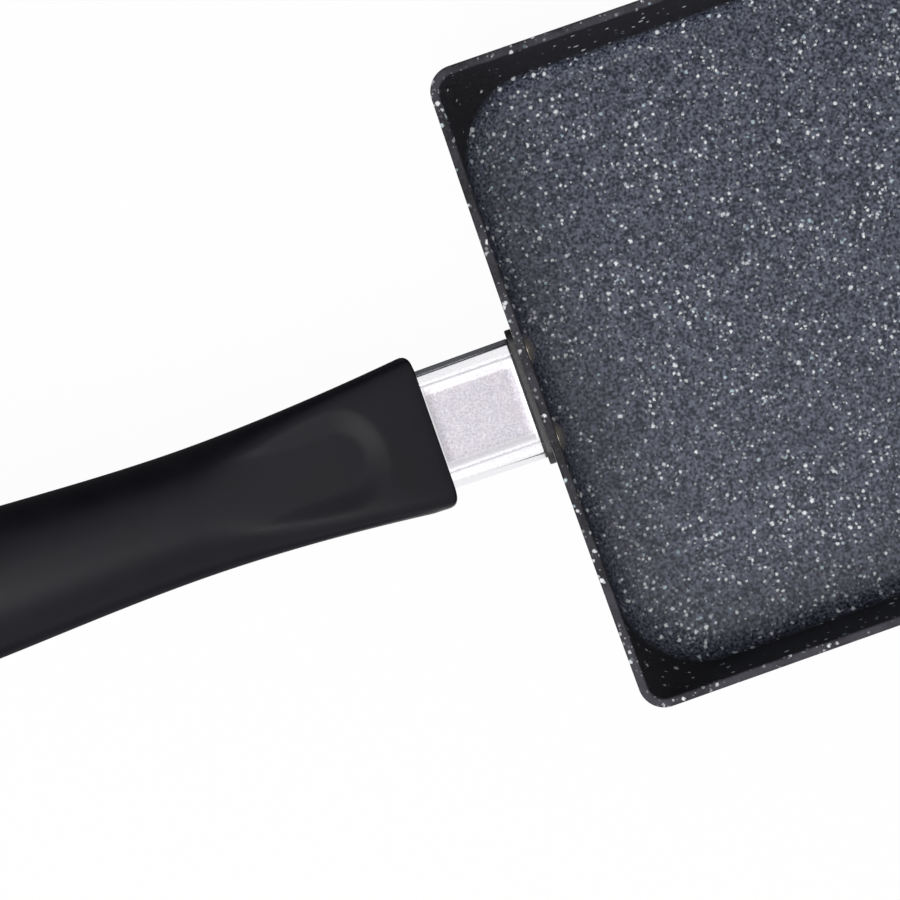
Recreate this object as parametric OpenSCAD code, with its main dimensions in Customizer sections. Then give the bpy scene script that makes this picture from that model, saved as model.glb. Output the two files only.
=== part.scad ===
// Rolled-omelette pan: a rectangular coated pan, a bracket riveted to its wall, a metal sleeve
// and a moulded grip that one long screw pulls up against the sleeve.
// +X runs along the pan away from the handle, +Z is up, and the origin is the centre of the
// face that the pan rests on. The handle leaves the pan towards -X.

/* [Pan rim] */
// Length of the rim in the handle's direction, from corner to corner
rim_length = 180; // [150:1:220]
// Width of the rim across the handle's direction, from corner to corner
rim_width = 150; // [120:1:200]
// Height of the rim above the resting face
pan_height = 36; // [32:1:55]
// Outer radius of the rim's corners, seen from above
rim_corner_r = 5.8; // [4:0.2:14]
// How far the middle of the side at the handle and of the far side bows outward
end_bow = 0.6; // [0:0.1:3]
// How far the middle of each long side bows outward
side_bow = 0; // [0:0.1:3]
// Radius that rounds both edges of the rim
rim_round = 0.5; // [0.2:0.1:0.8]

/* [Pan wall and floor] */
// Thickness of the wall, measured level
wall_t = 2; // [1.8:0.1:3.5]
// Thickness of the floor
floor_t = 3; // [2:0.1:6]
// Lean of the wall outward from upright, in degrees
wall_lean = 4; // [2:0.5:12]
// Radius of the fillet from the wall to the floor, inside and outside
floor_fillet_r = 5; // [3.5:0.5:10]
// Radius of the floor's corners, seen from above
floor_corner_r = 22.5; // [14:0.5:30]

/* [Turned rings under the base] */
// Radius of the smallest ring
ring_first_r = 14; // [8:1:30]
// Step from one ring to the next
ring_step = 9; // [4:0.5:20]
// Width of a ring's groove
ring_w = 1.2; // [0.6:0.1:2.5]
// Depth of a ring's groove
ring_depth = 0.4; // [0.2:0.1:0.8]

/* [Handle bracket] */
// Height of the flange's centre above the resting face, along with the handle's root
flange_z = 24; // [22:0.5:25]
// Width of the flange on the pan's wall
flange_w = 31.5; // [29:0.5:40]
// Height of the flange, along the wall
flange_h = 20; // [16:0.5:22]
// Thickness of the flange
flange_t = 1.5; // [1.2:0.1:3]
// Radius of the flange's corners
flange_corner_r = 3.5; // [1:0.5:6]
// Width of the hollow stem that carries the grip
stem_w = 12.6; // [11:0.2:13]
// Height of the stem
stem_h = 13; // [10:0.5:14]
// Wall of the stem
stem_wall = 1.6; // [1:0.1:2]
// How far the stem reaches into the grip
stem_reach = 22; // [14:1:40]
// Web that closes the stem where it leaves the flange
stem_web = 0.3; // [0.2:0.1:1]

/* [Rivets] */
// Distance between the two rivets
rivet_pitch = 20.6; // [20:0.1:23]
// Radius of a rivet's shank
rivet_r = 2; // [1.5:0.1:2.2]
// Radius of the head inside the pan
rivet_head_r = 3.8; // [3:0.1:4.5]
// Height of the head
rivet_head_h = 1.7; // [1:0.1:2.5]
// Gap round the shank
rivet_gap = 0.1; // [0.05:0.05:0.3]

/* [Sleeve] */
// Length of the sleeve along its centre line
sleeve_length = 25.5; // [18:0.5:45]
// Width of the sleeve at the pan
sleeve_w = 28.1; // [27:0.1:30]
// Height of the sleeve at the pan
sleeve_h = 18; // [16:0.5:20]
// How much narrower and lower the sleeve is at the grip
sleeve_taper = 0.8; // [0:0.1:1.5]
// Radius of the sleeve's long edges
sleeve_edge_r = 4.4; // [2:0.2:6]
// Wall of the sleeve
sleeve_wall = 1; // [0.6:0.1:1.2]
// Width of the sunken panel on top and below
panel_w = 19.3; // [10:0.1:20]
// Plain margin between the panel and the sleeve's pan end
panel_margin = 1.2; // [0.8:0.1:4]
// Plain margin between the panel and the sleeve's grip end
panel_grip_margin = 1.9; // [0.8:0.1:4]
// Depth of the panel
panel_depth = 0.3; // [0.1:0.1:0.5]

/* [Grip] */
// Length of the grip
grip_length = 160; // [140:1:200]
// Rise of the handle above level, in degrees
handle_rise = 12; // [6:0.5:20]
// Width of the grip at the sleeve
front_w = 35.4; // [34:0.2:42]
// Height of the grip at the sleeve
front_h = 25; // [24:0.5:30]
// Width of the waist
waist_w = 28.1; // [24:0.1:34]
// Height of the waist
waist_h = 20; // [18:0.5:26]
// Distance of the waist from the grip's front
waist_s = 57; // [45:1:75]
// Width of the tail where it is widest
tail_w = 32.6; // [28:0.2:40]
// Height of the tail there
tail_h = 21; // [18:0.5:26]
// Length of the rounded tail end
tail_end = 32; // [28:1:45]
// How far the middle of the grip arches up
grip_arch = 3; // [0:0.2:4]
// Radius that rounds the grip's front corners, seen from above
front_corner_r = 2; // [1:0.1:4]
// How much the front edge is rounded above and below
front_edge_r = 1; // [0.5:0.1:3]

/* [Thumb rest] */
// Distance of the thumb rest from the grip's front
thumb_start = 13; // [8:0.5:25]
// Length over which it fades out
thumb_length = 44; // [30:1:60]
// Half width of the thumb rest
thumb_r = 10.5; // [8:0.1:11]
// Depth of the thumb rest at its front
thumb_depth = 1.1; // [0.4:0.1:1.8]
// Width of the slope round it
thumb_slope = 1.8; // [0.8:0.1:3]

/* [Hanging slot] */
// Length of the slot through the tail
slot_length = 21; // [16:0.5:24]
// Width of the slot
slot_w = 11; // [8:0.5:14]
// Material left behind the slot at the tail's tip
slot_tip = 8; // [7:0.5:14]

/* [Tie screw] */
// Radius of the screw's shank
screw_r = 2.5; // [2:0.1:2.5]
// Radius of the screw's head
screw_head_r = 4.5; // [4:0.1:4.6]
// Height of the head
screw_head_h = 3.4; // [2:0.1:4]
// Radius of the flat washer
washer_r = 5; // [4.6:0.1:5.2]
// Thickness of the flat washer
washer_t = 1; // [0.6:0.1:1.6]
// Thickness of the split spring washer
spring_washer_t = 1.2; // [0.8:0.1:2]
// Length of the nut pressed into the stem
nut_length = 8; // [5:0.5:12]
// Distance from the screw's seat to the hanging slot
seat_depth = 12; // [8:0.5:16]
// Gap between the screw and what it passes through
screw_gap = 0.5; // [0.2:0.1:0.8]
// Gap round the threads in the nut
thread_gap = 0.05; // [0.02:0.01:0.1]
// Gap round the stem, the spigot and the washers
fit_gap = 0.25; // [0.1:0.05:0.4]

/* [Hidden] */
$fn = 64;

// Numbers of steps along arcs and round sections
corner_steps = 12;
fillet_steps = 8;
rim_steps = 3;
front_steps = 5;
grip_sides = 48;
grip_steps = 20;
cap_steps = 9;
edge_steps = 6;
dome_steps = 6;

// Overshoot of a cut past the face it opens
over = 1;

half_l = rim_length / 2;
half_w = rim_width / 2;
slope = tan(wall_lean);

// Half width of the flat strip that the sides keep for the flange
strip = flange_w / 2 + 1;

// Inset, from the rim's outline, of the wall's outer face at a height
function wall_inset(z) = (pan_height - z) * slope;

// A point moved outward by the bow of the sides
function bowed(p) = [
    p.x * (1 + end_bow / half_l * (1 - pow(p.y / half_w, 2))),
    p.y * (1 + side_bow / half_w * (1 - pow(p.x / half_l, 2))),
    p.z
];

// Arc of the wall's section as [inset, height] points, from one angle to another
function section_arc(inset, z, r, from, to, steps) = [
    for (k = [0 : steps])
        let (a = from + (to - from) * k / steps)
        [inset - r * cos(a), z + r * sin(a)]
];

// Inset of the centre of an arc that touches the wall, on the wall's far side or its near side
function arc_inset(z, r, back, side) =
    back + (pan_height - z + side * r * sin(wall_lean)) * slope + side * r * cos(wall_lean);

// Corner radius outside and inside, growing evenly from the rim down to the floor
function outer_corner(z) =
    let (base_r = floor_corner_r + wall_t)
    rim_corner_r + (base_r - rim_corner_r) * (pan_height - z) / pan_height;
function inner_corner(z) =
    let (top_r = rim_corner_r - wall_t)
    top_r + (floor_corner_r - top_r) * (pan_height - z) / (pan_height - floor_t);

// The pan's section as [inset, height, corner radius], from the base over the rim to the floor
function pan_section() =
    let (
        rim_z = pan_height - rim_round,
        inner_z = floor_t + floor_fillet_r,
        outer_c = arc_inset(floor_fillet_r, floor_fillet_r, 0, 1),
        rim_out_c = arc_inset(rim_z, rim_round, 0, 1),
        rim_in_c = arc_inset(rim_z, rim_round, wall_t, -1),
        inner_c = arc_inset(inner_z, floor_fillet_r, wall_t, 1)
    )
    concat(
        [for (p = section_arc(outer_c, floor_fillet_r, floor_fillet_r, -90, -wall_lean, fillet_steps))
            [p.x, p.y, outer_corner(p.y)]],
        [for (p = section_arc(rim_out_c, rim_z, rim_round, -wall_lean, 90, rim_steps))
            [p.x, p.y, rim_corner_r - p.x]],
        [for (p = section_arc(rim_in_c, rim_z, rim_round, 90, 180 - wall_lean, rim_steps))
            [p.x, p.y, rim_corner_r - p.x]],
        [for (p = section_arc(inner_c, inner_z, floor_fillet_r, -wall_lean, -90, fillet_steps))
            [p.x, p.y, inner_corner(p.y)]]
    );

// One ring of the pan: round corners joined by bowed sides that are flat in the middle
function pan_ring(inset, z, r) =
    let (lx = half_l - inset, ly = half_w - inset)
    [for (q = [0 : 3])
        let (
            cx = [1, -1, -1, 1][q] * (lx - r),
            cy = [1, 1, -1, -1][q] * (ly - r),
            run = (q % 2 == 0 ? lx : ly) - r,
            between = (run + strip) / 2
        )
        each concat(
            [for (k = [0 : corner_steps])
                let (a = 90 * (q + k / corner_steps))
                bowed([cx + r * cos(a), cy + r * sin(a), z])],
            [for (t = [between, strip, -strip, -between])
                bowed([[t, ly, z], [-lx, t, z], [-t, -ly, z], [lx, -t, z]][q])]
        )];

// Closed solid through rings with equal numbers of points, each counter-clockwise from above
module loft(rings) {
    n = len(rings[0]);
    last = (len(rings) - 1) * n;
    sides = [
        for (i = [0 : len(rings) - 2], j = [0 : n - 1])
            let (a = i * n + j, b = i * n + (j + 1) % n)
            each [[a, a + n, b + n], [a, b + n, b]]
    ];
    ends = [[for (j = [0 : n - 1]) j], [for (j = [n - 1 : -1 : 0]) last + j]];
    polyhedron([for (ring = rings) each ring], concat(sides, ends), convexity = 8);
}

// Where the flange meets the wall: the flat strip's place, lean and thickness
strip_scale = 1 + end_bow / half_l * (1 - pow(strip / half_w, 2));
seat_x = -(half_l - wall_inset(flange_z)) * strip_scale;
seat_lean = atan(slope * strip_scale);
seat_wall = wall_t * strip_scale * cos(seat_lean);

// Frame on the wall's outer face: X goes through the wall into the pan, Z goes up the wall
module at_wall() {
    translate([seat_x, 0, flange_z]) rotate([0, -seat_lean, 0]) children();
}

// Frame of each rivet: Z leaves the pan, from the wall's outer face
module at_rivets() {
    for (side = [-1, 1])
        at_wall() translate([0, side * rivet_pitch / 2, 0]) rotate([0, -90, 0]) children();
}

// Frame of the handle: Z leaves the pan along the handle, X is up and Y is across
root_x = seat_x - flange_t * cos(seat_lean);
root_z = flange_z - flange_t * sin(seat_lean);
module at_handle(along = 0) {
    translate([root_x, 0, root_z]) rotate([0, handle_rise - 90, 0]) translate([0, 0, along])
        children();
}

// Everything on the pan's side of a plane in the flange, for trimming what starts there
module pan_side(depth) {
    big = 2 * (front_w + sleeve_length);
    at_wall() translate([-depth, -big / 2, -big / 2]) cube(big);
}

// Flat plate with round corners, its face on the YZ plane and its thickness towards -X
module rounded_plate(w, h, r, t) {
    rotate([0, -90, 0]) linear_extrude(t) {
        square([h - 2 * r, w], center = true);
        square([h, w - 2 * r], center = true);
        for (x = [-1, 1], y = [-1, 1])
            translate([x * (h / 2 - r), y * (w / 2 - r)]) circle(r);
    }
}

// Widest ring that the resting face can hold
ring_limit = min(half_l, half_w) - arc_inset(floor_fillet_r, floor_fillet_r, 0, 1) - 2 * ring_w;

module pan_body() {
    color([0.26, 0.28, 0.31])
    difference() {
        loft([for (s = pan_section()) pan_ring(s[0], s[1], s[2])]);
        at_rivets() translate([0, 0, -seat_wall - over])
            cylinder(r = rivet_r + rivet_gap, h = seat_wall + 2 * over);
        for (r = [ring_first_r : ring_step : ring_limit])
            translate([0, 0, -over]) difference() {
                cylinder(r = r + ring_w / 2, h = over + ring_depth);
                translate([0, 0, -over]) cylinder(r = r - ring_w / 2, h = ring_depth + 3 * over);
            }
    }
}

// Solid rivet: a low dome inside the pan and a tail set flush in the flange's countersink
sink_depth = flange_t - 0.3;
sink_r = rivet_r + sink_depth;
module rivets() {
    dome_r = (pow(rivet_head_r, 2) + pow(rivet_head_h, 2)) / (2 * rivet_head_h);
    reach = asin(rivet_head_r / dome_r);
    color([0.72, 0.68, 0.62])
    at_rivets() rotate_extrude()
        polygon(concat(
            [for (k = [0 : dome_steps])
                let (a = reach * k / dome_steps)
                [dome_r * sin(a), -seat_wall - rivet_head_h + dome_r * (1 - cos(a))]],
            [
                [rivet_r, -seat_wall],
                [rivet_r, flange_t - sink_depth],
                [sink_r, flange_t],
                [0, flange_t]
            ]
        ));
}

module handle_bracket() {
    color([0.10, 0.10, 0.11])
    difference() {
        union() {
            at_wall() rounded_plate(flange_w, flange_h, flange_corner_r, flange_t);
            difference() {
                stem_start = -stem_h / 2;
                at_handle(stem_start) translate([-stem_h / 2, -stem_w / 2, 0])
                    cube([stem_h, stem_w, sleeve_length + stem_reach - stem_start]);
                pan_side(flange_t / 2);
            }
        }
        difference() {
            hollow_h = stem_h - 2 * stem_wall;
            hollow_w = stem_w - 2 * stem_wall;
            at_handle(-stem_h / 2) translate([-hollow_h / 2, -hollow_w / 2, 0])
                cube([hollow_h, hollow_w, sleeve_length + stem_reach + stem_h]);
            pan_side(flange_t + stem_web);
        }
        at_rivets() {
            translate([0, 0, -over]) cylinder(r = rivet_r + rivet_gap, h = flange_t + 2 * over);
            translate([0, 0, flange_t - sink_depth])
                cylinder(r1 = rivet_r + rivet_gap, r2 = sink_r + rivet_gap, h = sink_depth);
        }
    }
}

// Ring with round corners for the sleeve and the spigot inside it
function sleeve_ring(inset, z) =
    let (
        shrink = sleeve_taper * z / sleeve_length / 2,
        r = sleeve_edge_r - inset,
        lx = sleeve_h / 2 - inset - shrink - r,
        ly = sleeve_w / 2 - inset - shrink - r
    )
    [for (q = [0 : 3], k = [0 : edge_steps])
        let (a = 90 * (q + k / edge_steps))
        [[1, -1, -1, 1][q] * lx + r * cos(a), [1, 1, -1, -1][q] * ly + r * sin(a), z]];

module flame_guard_sleeve() {
    start = -sleeve_h / 2;
    panel_start = sleeve_h / 2 * tan(handle_rise + seat_lean) + panel_margin;
    color([0.78, 0.77, 0.80])
    difference() {
        at_handle() loft([sleeve_ring(0, start), sleeve_ring(0, sleeve_length)]);
        at_handle()
            loft([sleeve_ring(sleeve_wall, start - over), sleeve_ring(sleeve_wall, sleeve_length + over)]);
        pan_side(flange_t);
        for (up = [0, 180])
            at_handle() rotate([0, 0, up])
                translate([sleeve_h / 2 - sleeve_taper / 2 - panel_depth, -panel_w / 2, panel_start])
                cube([sleeve_h, panel_w, sleeve_length - panel_grip_margin - panel_start]);
    }
}

// Shape of the grip: how fast its front flare and its tail end round off
flare_power = 1.8;
tail_power = 2.6;
tip_power = 4;
// How square the section is: 2 is an ellipse, and higher is squarer
front_square = 7;
rear_square = 2.4;
tail_s = grip_length - tail_end;

// Smooth step from 0 to 1
function ease(t) = (1 - cos(180 * min(1, max(0, t)))) / 2;

// How much of its full size the tail's end keeps
function tail_keep(s, power) =
    s <= tail_s ? 1 : pow(1 - pow((s - tail_s) / tail_end, power), 1 / power);

// Half width, half height, centre height and squareness of the grip at a distance from its front
function grip_half_w(s) = tail_keep(s, tail_power) * (s < waist_s
    ? waist_w / 2 + (front_w - waist_w) / 2 * pow(1 - s / waist_s, flare_power)
    : waist_w / 2 + (tail_w - waist_w) / 2 * ease((s - waist_s) / (tail_s - waist_s)));
function grip_half_h(s) = tail_keep(s, tip_power) * (s < waist_s
    ? waist_h / 2 + (front_h - waist_h) / 2 * (1 - ease(s / waist_s))
    : waist_h / 2 + (tail_h - waist_h) / 2 * ease((s - waist_s) / (tail_s - waist_s)));
function grip_centre(s) = grip_arch * 4 * (s / grip_length) * (1 - s / grip_length);
function grip_square(s) = rear_square + (front_square - rear_square) * (1 - ease(s / waist_s));

// Ring of the grip at a distance from its front, drawn in by an amount across and up
function grip_ring(s, draw_in) =
    [for (k = [0 : grip_sides - 1])
        let (
            a = 360 * k / grip_sides,
            n = grip_square(s),
            push = pow(pow(abs(cos(a)), n) + pow(abs(sin(a)), n), -1 / n)
        )
        [
            grip_centre(s) + (grip_half_h(s) - draw_in * front_edge_r) * push * cos(a),
            (grip_half_w(s) - draw_in * front_corner_r) * push * sin(a),
            s
        ]];

// Thumb rest: a shallow stadium, sunk at its front and level with the grip at its rear
module thumb_cut() {
    front = thumb_start + thumb_r;
    rear = thumb_start + thumb_length;
    top = grip_centre(front) + grip_half_h(front);
    rear_top = grip_centre(rear) + grip_half_h(rear);
    lift = 6;
    hull() {
        translate([top - thumb_depth, 0, front]) rotate([0, 90, 0])
            cylinder(r1 = thumb_r - thumb_slope, r2 = thumb_r, h = thumb_depth, $fn = 32);
        translate([top, 0, front]) rotate([0, 90, 0]) cylinder(r = thumb_r, h = lift, $fn = 32);
        translate([rear_top, 0, rear]) rotate([0, 90, 0]) cylinder(r = thumb_r, h = lift, $fn = 32);
    }
}

// Places along the grip of the slot and of the screw's seat
slot_end = grip_length - slot_tip;
slot_start = slot_end - slot_length;
seat_s = slot_start - seat_depth;

module handle_grip() {
    socket = [stem_h + 2 * fit_gap, stem_w + 2 * fit_gap, stem_reach + over];
    spigot = 3;
    spigot_inset = sleeve_wall + fit_gap;
    stations = concat(
        [for (k = [0 : front_steps])
            let (a = 90 * k / front_steps)
            [front_corner_r * (1 - cos(a)), 1 - sin(a)]],
        [for (k = [1 : grip_steps])
            [front_corner_r + (tail_s - front_corner_r) * k / grip_steps, 0]],
        [for (k = [1 : cap_steps]) [tail_s + tail_end * sin(86 * k / cap_steps), 0]]
    );
    color([0.12, 0.12, 0.13])
    difference() {
        union() {
            at_handle(sleeve_length) loft([for (s = stations) grip_ring(s[0], s[1])]);
            at_handle() loft([
                sleeve_ring(spigot_inset, sleeve_length - spigot),
                sleeve_ring(spigot_inset, sleeve_length + front_corner_r)
            ]);
        }
        at_handle(sleeve_length - spigot - over)
            translate([-socket.x / 2, -socket.y / 2, 0])
            cube([socket.x, socket.y, spigot + over + socket.z]);
        at_handle(sleeve_length) {
            cylinder(r = screw_r + screw_gap, h = grip_length);
            translate([0, 0, seat_s]) cylinder(r = washer_r + fit_gap, h = grip_length);
            thumb_cut();
            translate([-front_h, 0, 0]) rotate([0, 90, 0]) linear_extrude(2 * front_h)
                for (s = [slot_start + slot_w / 2, slot_end - slot_w / 2])
                    translate([-s, 0]) circle(slot_w / 2);
            translate([-front_h, -slot_w / 2, slot_start + slot_w / 2])
                cube([2 * front_h, slot_w, slot_length - slot_w]);
        }
    }
}

// Place along the handle of the screw head's underside
head_s = sleeve_length + seat_s + washer_t + spring_washer_t;

module tie_screw() {
    nut_start = sleeve_length + stem_reach - nut_length;
    tip = 2;
    color([0.70, 0.71, 0.73])
    at_handle() difference() {
        union() {
            translate([0, 0, nut_start - tip]) cylinder(r = screw_r, h = head_s - nut_start + tip);
            translate([0, 0, head_s]) cylinder(r = screw_head_r, h = screw_head_h * 0.6);
            translate([0, 0, head_s + screw_head_h * 0.6])
                cylinder(r1 = screw_head_r, r2 = screw_head_r * 0.7, h = screw_head_h * 0.4);
        }
        for (turn = [0, 90])
            translate([0, 0, head_s + screw_head_h / 2]) rotate([0, 0, turn])
                translate([-screw_head_r * 0.6, -0.6, 0]) cube([screw_head_r * 1.2, 1.2, screw_head_h]);
    }
}

// A washer on the screw, with a split in it for the spring washer
module washer(r, t, split) {
    difference() {
        cylinder(r = r, h = t);
        translate([0, 0, -over]) cylinder(r = screw_r + thread_gap, h = t + 2 * over);
        if (split > 0)
            translate([0, -split / 2, -over]) cube([2 * r, split, t + 2 * over]);
    }
}

module spring_washer() {
    color([0.62, 0.63, 0.65])
    at_handle(head_s - spring_washer_t) washer(screw_head_r, spring_washer_t, 0.8);
}

module flat_washer() {
    color([0.74, 0.75, 0.77]) at_handle(sleeve_length + seat_s) washer(washer_r, washer_t, 0);
}

module tie_nut() {
    nut_h = stem_h - 2 * stem_wall;
    nut_w = stem_w - 2 * stem_wall;
    color([0.55, 0.50, 0.40])
    at_handle(sleeve_length + stem_reach - nut_length) difference() {
        translate([-nut_h / 2, -nut_w / 2, 0]) cube([nut_h, nut_w, nut_length]);
        translate([0, 0, -over]) cylinder(r = screw_r + thread_gap, h = nut_length + 2 * over);
    }
}

pan_body();
rivets();
handle_bracket();
flame_guard_sleeve();
handle_grip();
tie_screw();
spring_washer();
flat_washer();
tie_nut();
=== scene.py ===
"""Looks of a rolled-omelette pan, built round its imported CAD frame.

Sizes are in millimetres and become metres where a mesh is made. +X leaves the handle, +Z is up.
"""

import logging
import math
from dataclasses import dataclass
from enum import Enum
from itertools import product
from typing import Callable, ClassVar, Sequence

import bpy
import numpy as np
from mathutils import Matrix


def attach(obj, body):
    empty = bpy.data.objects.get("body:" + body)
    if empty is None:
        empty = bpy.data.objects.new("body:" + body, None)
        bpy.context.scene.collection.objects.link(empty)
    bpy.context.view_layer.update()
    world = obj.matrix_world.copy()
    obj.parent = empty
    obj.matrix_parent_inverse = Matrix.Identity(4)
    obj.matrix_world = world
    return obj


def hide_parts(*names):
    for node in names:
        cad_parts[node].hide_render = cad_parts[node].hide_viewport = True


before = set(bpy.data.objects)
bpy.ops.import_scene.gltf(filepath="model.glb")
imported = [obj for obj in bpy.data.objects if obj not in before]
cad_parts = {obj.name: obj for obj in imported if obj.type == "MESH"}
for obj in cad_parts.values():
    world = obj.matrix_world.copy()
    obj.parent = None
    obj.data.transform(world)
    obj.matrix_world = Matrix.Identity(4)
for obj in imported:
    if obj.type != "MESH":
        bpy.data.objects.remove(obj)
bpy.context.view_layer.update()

log = logging.getLogger("pan")

MM = 0.001
BODY = "root"

Colour = tuple[float, float, float]
Socket = bpy.types.NodeSocket
Sockets = bpy.types.bpy_prop_collection
SocketLike = Socket | float | int | Colour


class Slot(Enum):
    """Names of the material slots that the new pieces carry; main builds their materials under the
    same names.
    """

    COATING = "speckled_coating"
    RIVET = "rivet_metal"
    BRACKET = "bracket_black"
    SLEEVE = "satin_steel"
    GRIP = "black_bakelite"
    ZINC = "zinc_steel"
    BRASS = "nut_brass"


# Meshes


@dataclass(frozen=True)
class HandleFrame:
    """The handle's own frame: along leaves the pan, across is +Y and up is square to both."""

    root_x: float = -91.2219
    root_z: float = 23.8947
    rise: float = math.radians(12)

    def to_world(self, points: np.ndarray) -> np.ndarray:
        """Turns handle points into points of the row frame.

        Args:
            points: Rows of (along, across, up) in millimetres.

        Returns:
            Rows of (x, y, z) in millimetres.
        """
        along, across, up = points[..., 0], points[..., 1], points[..., 2]
        c, s = math.cos(self.rise), math.sin(self.rise)
        return np.stack([self.root_x - along * c + up * s, across,
                         self.root_z + along * s + up * c], -1)


@dataclass(frozen=True)
class WallSeat:
    """The spot on the wall's outer face where rivets and bracket sit, leaning with the wall."""

    x: float = -89.7256
    z: float = 24.0
    lean: float = math.radians(4.02525)

    def place(self, out: float, up: np.ndarray, across: np.ndarray) -> np.ndarray:
        """Points at a distance out from the wall, by their place up along it and across it."""
        c, s = math.cos(self.lean), math.sin(self.lean)
        return np.stack([self.x - out * c - up * s, across, self.z - out * s + up * c], 1)


HANDLE = HandleFrame()
SEAT = WallSeat()
# how far the wall's face moves along the handle for each unit up
WALL_TILT = math.tan(HANDLE.rise + SEAT.lean)


class Shell:
    """Vertices and faces of one piece while it is being built, in millimetres."""

    def __init__(self) -> None:
        """Starts with no vertices and no faces."""
        self.points: list[np.ndarray] = []
        self.faces: list[Sequence[int]] = []
        self.count = 0

    def loft(self, rings: Sequence[np.ndarray], closed: bool = False) -> None:
        """Joins rings of equal length with quads.

        Args:
            rings: Rings of points, each going the same way round.
            closed: Whether the last ring joins the first. Otherwise both ends are filled.
        """
        n, total, first = len(rings[0]), len(rings), self.count
        self.points.append(np.concatenate(rings))
        self.count += n * total
        around = np.arange(n)
        after = (around + 1) % n
        for i in range(total if closed else total - 1):
            a, b = first + i * n, first + (i + 1) % total * n
            self.faces.extend(np.stack([a + around, b + around, b + after, a + after], 1).tolist())
        if not closed:
            self.faces.append((first + around).tolist())
            self.faces.append((first + (total - 1) * n + around[::-1]).tolist())

    def build(self, name: str, smooth_angle: float) -> bpy.types.Object:
        """Makes the Blender object; edges that turn by more than the angle stay sharp."""
        return mesh_object(name, np.concatenate(self.points), self.faces, smooth_angle)


def linked(name: str, data: bpy.types.ID) -> bpy.types.Object:
    """Makes an object of mesh, lamp or camera data and links it to the scene.

    Args:
        name: Name of the object.
        data: What it shows.

    Returns:
        The new object.
    """
    made = bpy.data.objects.new(name, data)
    bpy.context.scene.collection.objects.link(made)
    return made


def mesh_object(name: str, points: np.ndarray, faces: Sequence[Sequence[int]],
                smooth_angle: float = 40.0) -> bpy.types.Object:
    """Makes a mesh object with smooth faces and outward normals.

    Args:
        name: Name of the object and its mesh.
        points: Rows of (x, y, z) in millimetres.
        faces: Vertex numbers of each face.
        smooth_angle: Edges that turn by more than this many degrees stay sharp.

    Returns:
        The object, linked to the scene.
    """
    mesh = bpy.data.meshes.new(name)
    mesh.from_pydata((points * MM).tolist(), [], [list(f) for f in faces])
    mesh.validate()
    if signed_volume(mesh) < 0:
        mesh.flip_normals()
    mesh.polygons.foreach_set("use_smooth", [True] * len(mesh.polygons))
    mesh.set_sharp_from_angle(angle=math.radians(smooth_angle))
    mesh.update()
    return linked(name, mesh)


def signed_volume(mesh: bpy.types.Mesh) -> float:
    """Volume inside a closed mesh, negative where its faces point inward.

    Args:
        mesh: The mesh.

    Returns:
        Its volume in cubic metres.
    """
    mesh.calc_loop_triangles()
    corners = np.empty(len(mesh.loop_triangles) * 3, np.int32)
    mesh.loop_triangles.foreach_get("vertices", corners)
    place = np.empty(len(mesh.vertices) * 3)
    mesh.vertices.foreach_get("co", place)
    a, b, c = np.moveaxis(place.reshape(-1, 3)[corners.reshape(-1, 3)], 1, 0)
    return float(np.einsum("ij,ij->i", a, np.cross(b, c)).sum() / 6)


def rounded_rectangle(half_x: float, half_y: float, r: float, steps: int,
                      between: int = 0) -> np.ndarray:
    """Counter-clockwise outline of a rectangle with round corners.

    Args:
        half_x: Half its length along x.
        half_y: Half its length along y.
        r: Radius of its corners.
        steps: Steps in each corner.
        between: Points on each straight side, besides its ends.

    Returns:
        Rows of (x, y).
    """
    arcs = []
    for q, (sx, sy) in enumerate(((1, 1), (-1, 1), (-1, -1), (1, -1))):
        a = np.radians(90 * (q + np.linspace(0, 1, steps + 1)))
        arcs.append(np.stack([sx * (half_x - r) + r * np.cos(a),
                              sy * (half_y - r) + r * np.sin(a)], 1))
    share = np.linspace(0, 1, between + 2)[1:-1, None]
    sides = [a[-1] + (b[0] - a[-1]) * share for a, b in zip(arcs, arcs[1:] + arcs[:1])]
    return np.concatenate([part for pair in zip(arcs, sides) for part in pair])


def ease(t: np.ndarray) -> np.ndarray:
    """Smooth step from 0 to 1."""
    return (1 - np.cos(np.pi * np.clip(t, 0, 1))) / 2


def smooth_max(a: np.ndarray, b: np.ndarray, k: float) -> np.ndarray:
    """The larger of two fields, with their meeting rounded over the width k."""
    return np.maximum(a, b) + np.maximum(k - np.abs(a - b), 0) ** 2 / (4 * k)


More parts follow.
